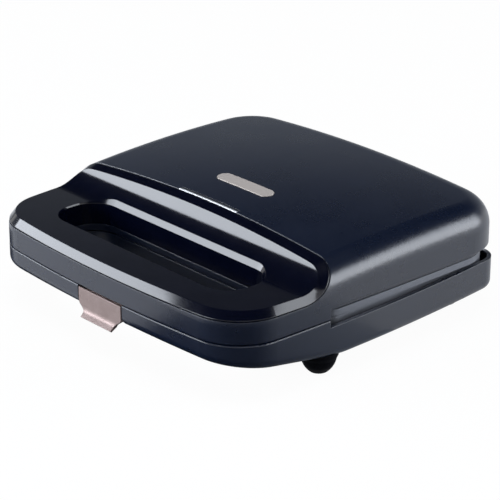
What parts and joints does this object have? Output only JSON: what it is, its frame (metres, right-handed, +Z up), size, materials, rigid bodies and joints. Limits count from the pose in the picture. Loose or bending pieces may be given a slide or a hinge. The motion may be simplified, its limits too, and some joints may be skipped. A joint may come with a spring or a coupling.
{
  "type": "panini press",
  "caption": "Compact contact grill for toasted sandwiches: hinged crowned lid and base with ribbed plates, a handle with a finger slot, and a front latch on a pin.",
  "frame": {"origin": "on the table under the middle of the whole press, closed", "axes": "+Z up, +Y to the rear hinge, +X to the right of a user who faces the handle"},
  "size_m": [0.2328, 0.241, 0.0764],
  "materials": {
    "shell_plastic": "satin near-black navy moulding",
    "trim_plastic": "near-black, satin on the flat and glossy on the slope",
    "latch_paint": "satin champagne metallic paint",
    "badge_metal": "satin champagne anodised",
    "lens_clear": "frosted clear",
    "plate_cast": "dark non-stick coat on cast plate",
    "rubber_black": "matt",
    "steel": "zinc plated",
    "sheet_steel": "aluminised sheet",
    "heater_sheath": "heat-tinted",
    "inner_plastic": "matt",
    "switch_body": "unglazed",
    "block_plastic": "natural nylon",
    "lamp_red": "neon lamp with red cap",
    "lamp_green": "neon lamp with green cap",
    "wire_sleeve": "silicone insulation"
  },
  "bodies": {
    "base": {"base_shell": "shell_plastic", "lower_handle_deck": "inner_plastic", "lower_plate": "plate_cast", "lower_heating_element": "heater_sheath", "lower_element_clips": "sheet_steel", "lower_reflector": "sheet_steel", "thermostat": "switch_body", "thermostat_strap": "sheet_steel", "terminal_block": "block_plastic", "cord_gland": "rubber_black", "cord_clamp": "inner_plastic", "clamp_screws": "steel", "base_wiring": "wire_sleeve", "foot_front_left": "rubber_black", "foot_front_right": "rubber_black", "foot_rear_left": "rubber_black", "foot_rear_right": "rubber_black", "plate_screws_lower": "steel", "deck_screws": "steel", "hinge_pin_left": "steel", "hinge_pin_right": "steel", "hinge_cable_sleeve": "rubber_black"},
    "lid": {"lid_shell": "shell_plastic", "handle_trim": "trim_plastic", "badge": "badge_metal", "indicator_lens": "lens_clear", "power_lamp": "lamp_red", "ready_lamp": "lamp_green", "lamp_holder": "inner_plastic", "upper_plate": "plate_cast", "upper_heating_element": "heater_sheath", "upper_element_clips": "sheet_steel", "upper_reflector": "sheet_steel", "thermal_fuse": "sheet_steel", "plate_screws_upper": "steel", "trim_screws": "steel", "lid_wiring": "wire_sleeve", "latch_pin": "steel"},
    "latch": {"latch": "latch_paint"}
  },
  "joints": [
    {"name": "lid_hinge", "type": "hinge", "parent": "base", "child": "lid", "pos_m": [0, 0.1155, 0.037], "axis": [-1, 0, 0], "range_deg": [0, 100], "deforming": ["hinge_cable_sleeve"]},
    {"name": "latch_pivot", "type": "hinge", "parent": "lid", "child": "latch", "pos_m": [0, -0.1116, 0.04], "axis": [-1, 0, 0], "range_deg": [0, 25]}
  ]
}
